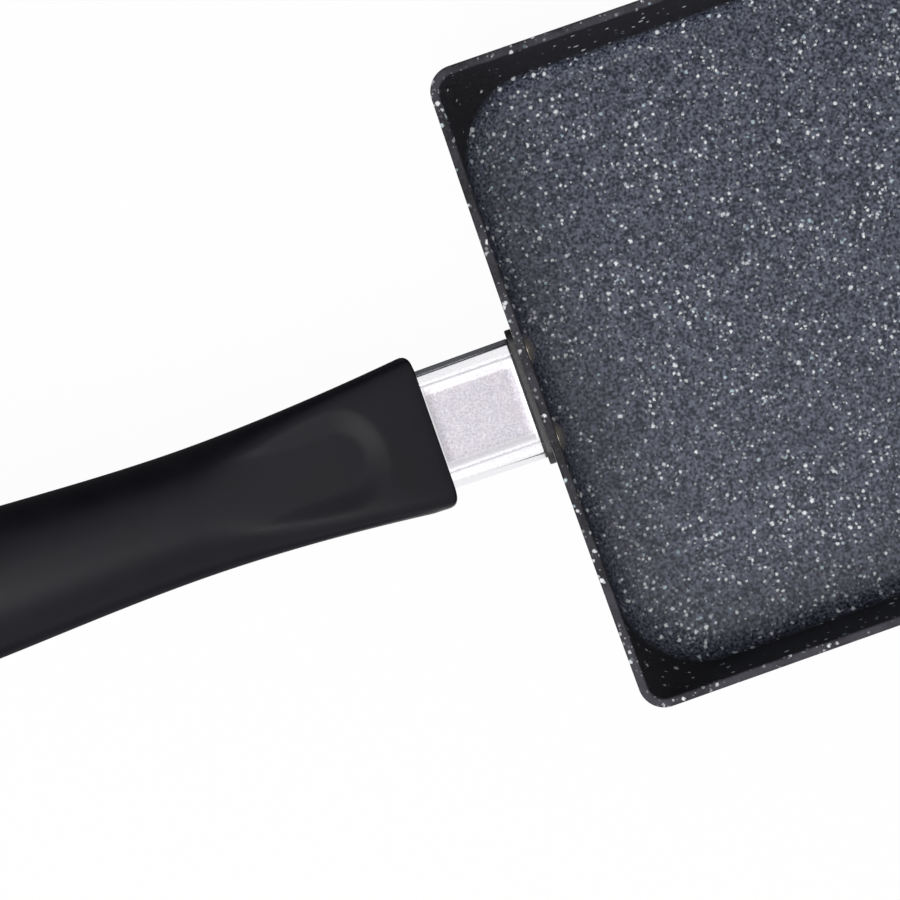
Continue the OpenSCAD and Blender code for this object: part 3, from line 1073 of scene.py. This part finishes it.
@dataclass
class FlameGuardSleeve(Piece):
    """The folded steel sleeve, with bent shoulders and a sunken panel above and below."""

    length: float = 25.5
    width: float = 28.1
    height: float = 18.0
    taper: float = 0.8
    wall: float = 1.0
    panel_w: float = 19.3
    pan_margin: float = 0.8
    grip_margin: float = 1.2
    panel_depth: float = 0.3
    slope_across: float = 2.4
    slope_along: float = 0.6
    groove_w: float = 0.70
    groove_depth: float = 0.08
    # corners of the bends as (across, up, radius), from the top round to the side
    bends: tuple[tuple[float, float, float], ...] = (
        (10.8, 9.0, 0.9), (12.85, 8.78, 0.8), (14.05, 5.2, 1.4))
    end_round: float = 0.12
    bend_steps: int = 6

    def bent_side(self) -> np.ndarray:
        """The bent part of the section, down to half height.

        Returns:
            Rows of (across, up).
        """
        corner = [np.array((self.panel_w / 2 + self.groove_w, self.height / 2))]
        corner += [np.array(b[:2]) for b in self.bends] + [np.array((self.width / 2, 0.0))]
        rows = [corner[0]]
        for i, bend in enumerate(self.bends, 1):
            back = corner[i - 1] - corner[i]
            ahead = corner[i + 1] - corner[i]
            back, ahead = back / np.linalg.norm(back), ahead / np.linalg.norm(ahead)
            half = math.acos(float(np.clip(-(back @ ahead), -1, 1))) / 2
            reach = bend[2] * math.tan(half)
            for t in np.linspace(0, 1, self.bend_steps + 1):
                rows.append(corner[i] + reach * ((1 - t) ** 2 * back + t ** 2 * ahead))
        rows.append(np.array((self.width / 2, 2.0)))
        return np.array(rows)

    def outline(self) -> tuple[np.ndarray, np.ndarray]:
        """The section at the pan.

        Returns:
            Rows of (across, up), and how sunk, grooved and level each of them is.
        """
        edge = self.panel_w / 2
        border = edge - self.slope_across * np.linspace(1, 0, 9)
        groove = edge + self.groove_w * np.array([0.25, 0.5, 0.75])
        flat = np.concatenate([np.linspace(0, border[0], 9)[:-1], border, groove])
        sunk = 1 - ease((flat - border[0]) / self.slope_across)
        cut = np.exp(-((flat - edge - self.groove_w / 2) / (0.3 * self.groove_w)) ** 2)
        top = np.stack([flat, self.height / 2 - self.groove_depth * cut], 1)
        quarter = np.concatenate([top, self.bent_side()])
        marks = np.zeros((len(quarter), 3))
        marks[:len(flat)] = np.stack([sunk, cut, np.ones(len(flat))], 1)
        lower, lower_marks = quarter[::-1] * (1, -1), marks[::-1]
        half = np.concatenate([quarter, [(self.width / 2, 0.0)], lower])
        half_marks = np.concatenate([marks, [(0.0, 0.0, 0.0)], lower_marks])
        whole = np.concatenate([half, half[-2:0:-1] * (-1, 1)])
        return whole, np.concatenate([half_marks, half_marks[-2:0:-1]])

    def narrowed(self, section: np.ndarray, inset: np.ndarray) -> np.ndarray:
        """Draws the section in, with its flat panel kept at full width.

        Args:
            section: Rows of (across, up).
            inset: How far each row is drawn in.

        Returns:
            The narrower rows.
        """
        across, up = section[:, 0], section[:, 1]
        side = np.clip(np.abs(across) - self.panel_w / 2 - self.groove_w, 0, 1)
        rise = np.clip(np.abs(up) / 5.0, 0, 1)
        return np.stack([across - np.sign(across) * inset * side,
                         up - np.sign(up) * inset * rise], 1)

    def station(self, section: np.ndarray, share: float, extra: float = 0.0,
                sunk: np.ndarray | float = 0.0, wall: float = 0.0) -> np.ndarray:
        """One ring of the sleeve, between its slanting end at the pan and its square one.

        Args:
            section: The section at the pan.
            share: How far along it is, from 0 to 1.
            extra: Inset besides the taper.
            sunk: How deep in the panel each point lies, from 0 to 1.
            wall: How far inside the outer skin it lies.

        Returns:
            Rows of (x, y, z) in millimetres.
        """
        begin = section[:, 1] * WALL_TILT
        along = begin + (self.length - begin) * share
        inset = self.taper * np.clip(along, 0, None) / self.length / 2 + extra
        row = self.narrowed(section, inset) * (1 - 2 * wall / self.width, 1 - 2 * wall / self.height)
        row[:, 1] -= np.sign(row[:, 1]) * self.panel_depth * sunk
        return HANDLE.to_world(np.column_stack([along, row]))

    def mesh(self) -> bpy.types.Object:
        """Builds the sleeve's outer skin, its two ends and its bore.

        Returns:
            The piece's object.
        """
        section, marks = self.outline()
        first = self.height / 2 * WALL_TILT
        start, end = first + self.pan_margin, self.length - self.grip_margin
        lip = np.array([0, 0.08, 0.2, 0.4])
        border = self.slope_along * np.linspace(-0.5, 0.5, 5)
        stops = np.concatenate([first + lip, start + border, np.linspace(start, end, 12)[1:-1],
                                end + border, self.length - lip[::-1]])
        rings, zones = [], []
        for stop in stops:
            sunk = marks[:, 0] * float(ease((stop - start) / self.slope_along + 0.5)
                                       * ease((end - stop) / self.slope_along + 0.5))
            near = min(stop - first, self.length - stop)
            rings.append(self.station(section, (stop - first) / (self.length - first),
                                      self.end_round * max(0.0, 1 - near / 0.4) ** 2, sunk))
            zones.append(np.column_stack([sunk, marks[:, 1:]]))
        for share in (1.0, 0.5, 0.0):
            rings.append(self.station(section, share, wall=self.wall))
            zones.append(np.zeros((len(section), 3)))
        shell = Shell()
        shell.loft(rings, closed=True)
        made = shell.build(self.name, 30)
        layer = made.data.attributes.new("zones", "FLOAT_VECTOR", "POINT")
        layer.data.foreach_set("vector", np.concatenate(zones).ravel())
        return made


@dataclass
class Grip(Piece):
    """The moulded grip: a changing superellipse with a thumb rest, a slot and its bores."""

    length: float = 160.0
    sleeve_length: float = 25.5
    # sizes at the front, the waist and the tail
    widths: tuple[float, float, float] = (35.4, 28.1, 32.6)
    heights: tuple[float, float, float] = (25.0, 20.0, 21.0)
    waist_s: float = 57.0
    tail_end: float = 32.0
    arch: float = 3.0
    front_corner_r: float = 2.0
    front_edge_r: float = 1.0
    front_square: float = 11.0
    rear_square: float = 2.4
    thumb_start: float = 13.0
    thumb_length: float = 60.0
    thumb_r: float = 10.5
    thumb_depth: float = 0.7
    thumb_slope: float = 3.0
    slot_length: float = 21.0
    slot_w: float = 11.0
    slot_tip: float = 8.0
    slot_edge: float = 2.2
    seat_s: float = 119.0
    seat_r: float = 5.25
    bore_r: float = 3.0
    # half sizes along, across and up
    socket: tuple[float, float, float] = (23.0, 6.55, 6.75)
    spigot: tuple[float, float, float] = (3.0, 12.4, 7.35)
    socket_r: float = 0.5
    spigot_r: float = 3.1
    rest_blend: float = 1.0
    seat_blend: float = 0.9
    # the grid that the skin is found on
    cell: float = 0.6
    grid_low: tuple[float, float, float] = (-4.03, -18.9, -13.9)
    grid_high: tuple[float, float, float] = (161.2, 18.9, 15.3)

    @property
    def tail_s(self) -> float:
        """Where the tail's rounded end begins."""
        return self.length - self.tail_end

    def keep(self, s: np.ndarray, power: float) -> np.ndarray:
        """How much of its full size the tail's end keeps."""
        t = np.clip((s - self.tail_s) / self.tail_end, 0, 0.9999)
        return (1 - t ** power) ** (1 / power)

    def draw_in(self, s: np.ndarray) -> np.ndarray:
        """How much the front's rounding draws the outline in, from 1 at the front to 0."""
        t = np.clip(1 - s / self.front_corner_r, 0, 1)
        return 1 - np.sqrt(1 - t ** 2)

    def half(self, s: np.ndarray, sizes: Sequence[float], flare: np.ndarray,
             power: float) -> np.ndarray:
        """Half of a size along the grip.

        Args:
            s: Distance from the front.
            sizes: The size at the front, the waist and the tail.
            flare: Share of the front's size, from 1 at the front to 0 at the waist.
            power: How blunt the tail's end is.

        Returns:
            The half size at each distance.
        """
        front, waist, tail = sizes
        rear = ease((s - self.waist_s) / (self.tail_s - self.waist_s))
        return self.keep(s, power) * (waist + (front - waist) * flare + (tail - waist) * rear) / 2

    def half_w(self, s: np.ndarray) -> np.ndarray:
        """Half width at a distance from the front."""
        return self.half(s, self.widths, np.clip(1 - s / self.waist_s, 0, 1) ** 1.8, 2.6)

    def half_h(self, s: np.ndarray) -> np.ndarray:
        """Half height at a distance from the front."""
        return self.half(s, self.heights, 1 - ease(s / self.waist_s), 4)

    def centre(self, s: np.ndarray) -> np.ndarray:
        """Height of the section's centre, which makes the arch."""
        return self.arch * 4 * (s / self.length) * (1 - s / self.length)

    @staticmethod
    def box(p: np.ndarray, half: Sequence[float], r: float) -> np.ndarray:
        """Field of a box with round long edges.

        Args:
            p: Rows of points.
            half: Half sizes along, across and up.
            r: Radius of the edges.

        Returns:
            The field, negative inside.
        """
        q = np.abs(p) - half
        side = np.linalg.norm(np.maximum(q[:, 1:] + r, 0), axis=1) - r
        side += np.minimum(np.maximum(q[:, 1] + r, q[:, 2] + r), 0)
        return np.maximum(side, q[:, 0])

    def thumb(self, p: np.ndarray) -> np.ndarray:
        """Field of the thumb rest: a sloping stadium, deep at its front.

        Args:
            p: Rows of (from the front, across, up).

        Returns:
            The field, negative inside the rest.
        """
        s, y, w = p.T
        front, rear = self.thumb_start + self.thumb_r, self.thumb_start + self.thumb_length
        along = np.clip(s, front, self.length / 2)
        floor = self.centre(along) + self.half_h(along) - self.thumb_depth * (
            1 - 2.6 * ease((s - front) / (rear - front)))
        beyond = np.where(s < front, front - s, np.maximum(s - rear, 0))
        wall = np.hypot(beyond, y) - self.thumb_r + self.thumb_slope * np.clip(
            1 - (w - floor) / self.thumb_depth, 0, 1)
        return smooth_max(floor - w, wall * 0.6, 0.8)

    def field(self, p: np.ndarray) -> np.ndarray:
        """The whole grip's field.

        Args:
            p: Rows of (from the front, across, up).

        Returns:
            The field, negative inside the grip.
        """
        s, y, w = p.T
        held = np.clip(s, 0, self.length)
        square = self.rear_square + (self.front_square - self.rear_square) * (
            1 - ease(held / self.waist_s))
        draw = self.draw_in(held)
        hw = np.maximum(self.half_w(held) - draw * self.front_corner_r, 0.3)
        hh = np.maximum(self.half_h(held) - draw * self.front_edge_r, 0.3)
        reach = (np.abs(y / hw) ** square + np.abs((w - self.centre(held)) / hh) ** square) ** (
            1 / square)
        out = np.maximum((reach - 1) * np.minimum(hw, hh), np.maximum(-s, s - self.length))
        out = smooth_max(out, -self.thumb(p), self.rest_blend)
        slot_s = self.length - self.slot_tip - self.slot_length / 2
        run = np.maximum(np.abs(s - slot_s) - (self.slot_length - self.slot_w) / 2, 0)
        out = smooth_max(out, self.slot_w / 2 - np.hypot(run, y), self.slot_edge)
        radial = np.hypot(y, w)
        out = np.minimum(out, self.box(p, self.spigot, self.spigot_r))
        out = np.maximum(out, -self.box(p, self.socket, self.socket_r))
        out = np.maximum(out, self.bore_r - np.where(s > 0, radial, 99))
        seat = np.minimum(self.seat_r - radial, s - self.seat_s)
        return smooth_max(out, seat, self.seat_blend)

    def mesh(self) -> bpy.types.Object:
        """Builds the grip's skin on a fine grid and places it behind the sleeve.

        Returns:
            The piece's object.
        """
        points, quads = surface_net(self.field, self.grid_low, self.grid_high, self.cell)
        points[:, 0] += self.sleeve_length
        return mesh_object(self.name, HANDLE.to_world(points), quads, 48)


@dataclass
class TieScrew(Piece):
    """The long screw through the grip, with a rolled thread at its tip and a cross recess."""

    radius: float = 2.5
    head_r: float = 4.5
    head_h: float = 3.4
    tip: float = 37.5
    head_s: float = 146.7
    head_edge: float = 0.2
    recess: float = 1.6
    pitch: float = 0.8
    thread_length: float = 24.0
    thread_depth: float = 0.4
    around: int = 40

    def ring(self, s: float, r: np.ndarray | float) -> np.ndarray:
        """Ring round the screw's axis.

        Args:
            s: Its place along the handle.
            r: Its radius, which may change round it.

        Returns:
            Rows of (x, y, z) in millimetres.
        """
        a = np.linspace(0, 2 * np.pi, self.around, endpoint=False)
        r = np.broadcast_to(r, a.shape)
        return HANDLE.to_world(np.stack([np.full(len(a), s), r * np.sin(a), r * np.cos(a)], 1))

    def mesh(self) -> bpy.types.Object:
        """Builds the threaded shank and the domed head as one skin.

        Returns:
            The piece's object.
        """
        a = np.linspace(0, 1, self.around, endpoint=False)
        smooth, head = self.tip + self.thread_length, self.head_s
        rows = [(self.tip, self.radius * 0.6)]
        for s in np.arange(self.tip + 0.4, smooth, self.pitch / 6):
            wave = np.abs(((s / self.pitch - a) % 1) * 2 - 1)
            rows.append((s, self.radius - self.thread_depth * wave * min(1.0, (smooth - s) / 2)))
        rows += [(smooth, self.radius), (head, self.radius), (head, self.head_r - self.head_edge),
                 (head + self.head_edge, self.head_r)]
        side = self.head_h * 0.6
        for t in np.radians(np.linspace(0, 90, 9)):
            rows.append((head + side + (self.head_h - side) * math.sin(t),
                         self.head_r * (0.55 + 0.45 * math.cos(t))))
        cross = self.head_r * (0.34 + 0.20 * np.clip(np.cos(8 * np.pi * a), -0.6, 1))
        rows += [(head + self.head_h, cross), (head + self.head_h - self.recess, cross * 0.55)]
        shell = Shell()
        shell.loft([self.ring(s, r) for s, r in rows])
        return shell.build(self.name, 32)


@dataclass
class CadNode:
    """A piece whose CAD solid is shown as it is, with a better finish."""

    node: str
    material: bpy.types.Material

    def make(self) -> bpy.types.Object:
        """Dresses the CAD node and returns its object.

        Returns:
            The node's object.
        """
        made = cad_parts[self.node]
        made.data.materials.clear()
        made.data.materials.append(self.material)
        log.info("%s: CAD solid, finish %s", self.node, self.material.name)
        return made


# Studio


class Facing(Enum):
    """Which way a sheet faces: the low or high end that its corners take on X, Y and Z."""

    UP = ((0, 0, 0), (1, 0, 0), (1, 1, 1), (0, 1, 1))
    SIDE = ((0, 0, 0), (1, 1, 0), (1, 1, 1), (0, 0, 1))


@dataclass(frozen=True)
class Lamp:
    """An oblong area lamp; a mirrored one shows in reflections too."""

    name: str
    place: tuple[float, float, float]
    sides: tuple[float, float]
    watts: float
    mirrored: bool

    def hang(self, aim: Sequence[float]) -> None:
        """Makes the lamp and turns it to a point.

        Args:
            aim: The point in metres.
        """
        data = bpy.data.lights.new(self.name, "AREA")
        data.shape = "RECTANGLE"
        data.size, data.size_y = self.sides
        data.energy = self.watts
        made = linked(self.name, data)
        back = np.array(self.place) - np.array(aim)
        back /= np.linalg.norm(back)
        side = np.cross((0, 1, 0), back)
        side /= np.linalg.norm(side)
        made.matrix_world = placed(side, np.cross(back, side), back, self.place)
        made.visible_camera = False
        made.visible_glossy = self.mirrored


@dataclass
class Studio:
    """Camera, pale floor, two soft lamps and the dark cards that shade one side."""

    effects: Effects
    eye: tuple[float, float, float] = (-0.14623, -0.01198, 0.82913)
    right: tuple[float, float, float] = (0.942733, -0.331379, 0.037973)
    up: tuple[float, float, float] = (0.330739, 0.943461, 0.022213)
    focal_px: float = 3600.0
    image_px: float = 900.0
    sensor_mm: float = 36.0
    ambient: float = 0.15
    backdrop: float = 0.97
    dusk: tuple[float, float, float] = (0.38, 0.70, 0.04)
    softbox: Lamp = Lamp("softbox", (-0.29, -0.24, 1.30), (1.24, 0.46), 9.0, True)
    fill: Lamp = Lamp("fill", (-0.58, -0.58, 1.12), (0.85, 0.40), 6.2, False)
    aim: tuple[float, float, float] = (-0.06, 0.0, 0.02)
    floor_colour: Colour = (0.93, 0.93, 0.93)
    floor_half: float = 4000.0
    card_hues: tuple[Colour, Colour] = ((0.8, 0.83, 0.9), (1.0, 1.03, 1.1))

    def camera(self) -> None:
        """Makes the camera where the photograph's lines and outlines put it."""
        data = bpy.data.cameras.new("photo_camera")
        data.sensor_width = self.sensor_mm
        data.lens = self.focal_px / self.image_px * self.sensor_mm
        data.clip_start, data.clip_end = 0.02, 30
        made = linked("photo_camera", data)
        right, up = np.array(self.right), np.array(self.up)
        right /= np.linalg.norm(right)
        up -= right * (up @ right)
        up /= np.linalg.norm(up)
        made.matrix_world = placed(right, up, np.cross(right, up), self.eye)
        bpy.context.scene.camera = made

    @staticmethod
    def seen(g: Graph) -> Socket:
        """Tells what is looked at from what is lit.

        Args:
            g: Graph of the world or of a stage material.

        Returns:
            1 for camera, glossy and transmission rays, and 0 for light on the object.
        """
        path = g.add("ShaderNodeLightPath")
        mirrored = g.math("MAXIMUM", path.outputs["Is Glossy Ray"],
                          path.outputs["Is Transmission Ray"])
        direct = g.math("LESS_THAN", path.outputs["Diffuse Depth"], 0.5)
        return g.math("MAXIMUM", path.outputs["Is Camera Ray"],
                      g.math("MULTIPLY", mirrored, direct))

    def world(self) -> None:
        """White to the camera, dimmer towards +Y in reflections, an even dim light elsewhere."""
        world = bpy.data.worlds.new("studio")
        world.use_nodes = True
        bpy.context.scene.world = world
        g = Graph(world.node_tree)
        back = g.find("BACKGROUND")
        back.inputs["Color"].default_value = (1, 1, 1, 1)
        side = g.separate(g.add("ShaderNodeTexCoord").outputs["Generated"])[1]
        start, end, low = self.dusk
        glossy = g.add("ShaderNodeLightPath").outputs["Is Glossy Ray"]
        mirrored = g.span(glossy, 0, 1, 1.0, g.span(side, start, end, 1.0, low))
        g.put(back.inputs["Strength"], g.span(self.seen(g), 0, 1, self.ambient, mirrored))

    @staticmethod
    def sheet(low: Sequence[float], high: Sequence[float], facing: Facing,
              paint: bpy.types.Material) -> bpy.types.Object:
        """Makes a flat sheet, named as its paint.

        Args:
            low: Its lowest corner in millimetres.
            high: Its highest corner in millimetres.
            facing: Whether it lies flat or stands along X.
            paint: Its material.

        Returns:
            The sheet.
        """
        corners = [[(low, high)[k][i] for i, k in enumerate(row)] for row in facing.value]
        made = mesh_object(paint.name, np.array(corners, float), [(0, 1, 2, 3)])
        made.data.materials.append(paint)
        return made

    def floor(self) -> None:
        """Plain pale floor under the pan, white to the camera and keeping a soft shadow."""
        shade = tuple(c * 0.985 for c in self.floor_colour)
        paint = StagePaint("studio_floor", self.effects, (shade, self.floor_colour), 0.3,
                           0.9).build()
        g = Graph(paint.node_tree)
        mixed = g.add("ShaderNodeMixShader", g.times(self.seen(g), self.backdrop),
                      g.find("BSDF_PRINCIPLED").outputs[0],
                      g.add("ShaderNodeEmission").outputs[0])
        g.put(g.find("OUTPUT_MATERIAL").inputs["Surface"], mixed.outputs[0])
        half = self.floor_half
        self.sheet((-half, -half, -0.1), (half, half, -0.1), Facing.UP, paint)

    def card(self, name: str, low: Sequence[float], high: Sequence[float],
             facing: Facing, tone: float) -> None:
        """Makes a card that only reflections show.

        Args:
            name: Name of the card.
            low: Its lowest corner in millimetres.
            high: Its highest corner in millimetres.
            facing: Whether it lies flat or stands along X.
            tone: How light it is.
        """
        dark, light = (tuple(tone * c for c in hue) for hue in self.card_hues)
        paint = StagePaint(name, self.effects, (dark, light), 0.02, 1.0).build()
        made = self.sheet(low, high, facing, paint)
        for ray in ("camera", "diffuse", "shadow", "transmission", "volume_scatter"):
            setattr(made, f"visible_{ray}", False)

    def make(self) -> None:
        """Builds the whole studio."""
        bpy.context.scene.view_settings.view_transform = "Standard"
        self.camera()
        self.world()
        self.floor()
        self.softbox.hang(self.aim)
        self.fill.hang(self.aim)
        self.card("card_behind", (-500, 22, 1.0), (-84, 420, 1.0), Facing.UP, 0.15)
        self.card("card_front", (-500, -420, 1.0), (-118, -22, 1.0), Facing.UP, 0.24)
        self.card("card_standing", (-900, 450, 1.0), (700, 450, 300), Facing.SIDE, 0.09)
        log.info("studio: camera, world, floor, two lamps and three cards")


def placed(x: Sequence[float], y: Sequence[float], z: Sequence[float],
           at: Sequence[float]) -> Matrix:
    """Matrix that puts an object at a point with the given axes."""
    return Matrix([*zip(x, y, z, at), (0, 0, 0, 1)])


def main() -> None:
    """Builds the studio, the finishes and the pieces in order."""
    logging.basicConfig(level=logging.INFO, format="%(name)s: %(message)s")
    effects = Effects()
    Studio(effects).make()
    coating = StoneCoating("speckled_coating", effects).build()
    rivet = TurnedMetal("rivet_metal", effects, (0.52, 0.45, 0.37), (0.34, 0.29, 0.23),
                        (0.16, 0.38)).build()
    paint = BracketPaint("bracket_black", effects).build()
    steel = SatinSteel("satin_steel", effects).build()
    resin = MouldedGrip("black_bakelite", effects).build()
    zinc = TurnedMetal("zinc_steel", effects, (0.62, 0.64, 0.66), (0.50, 0.51, 0.50),
                       (0.28, 0.45)).build()
    brass = TurnedMetal("nut_brass", effects, (0.70, 0.55, 0.28), (0.58, 0.44, 0.22),
                        (0.30, 0.45)).build()
    pieces: list[Piece | CadNode] = [
        PanBody("pan_coated", "pan_body", Slot.COATING, coating),
        Rivets("rivet_pair", "rivets", Slot.RIVET, rivet),
        Bracket("bracket_painted", "handle_bracket", Slot.BRACKET, paint),
        FlameGuardSleeve("sleeve_satin", "flame_guard_sleeve", Slot.SLEEVE, steel),
        Grip("grip_moulded", "handle_grip", Slot.GRIP, resin),
        TieScrew("screw_threaded", "tie_screw", Slot.ZINC, zinc),
        CadNode("spring_washer", zinc),
        CadNode("flat_washer", zinc),
        CadNode("tie_nut", brass),
    ]
    for piece in pieces:
        piece.make()


if __name__ == "__main__":
    main()
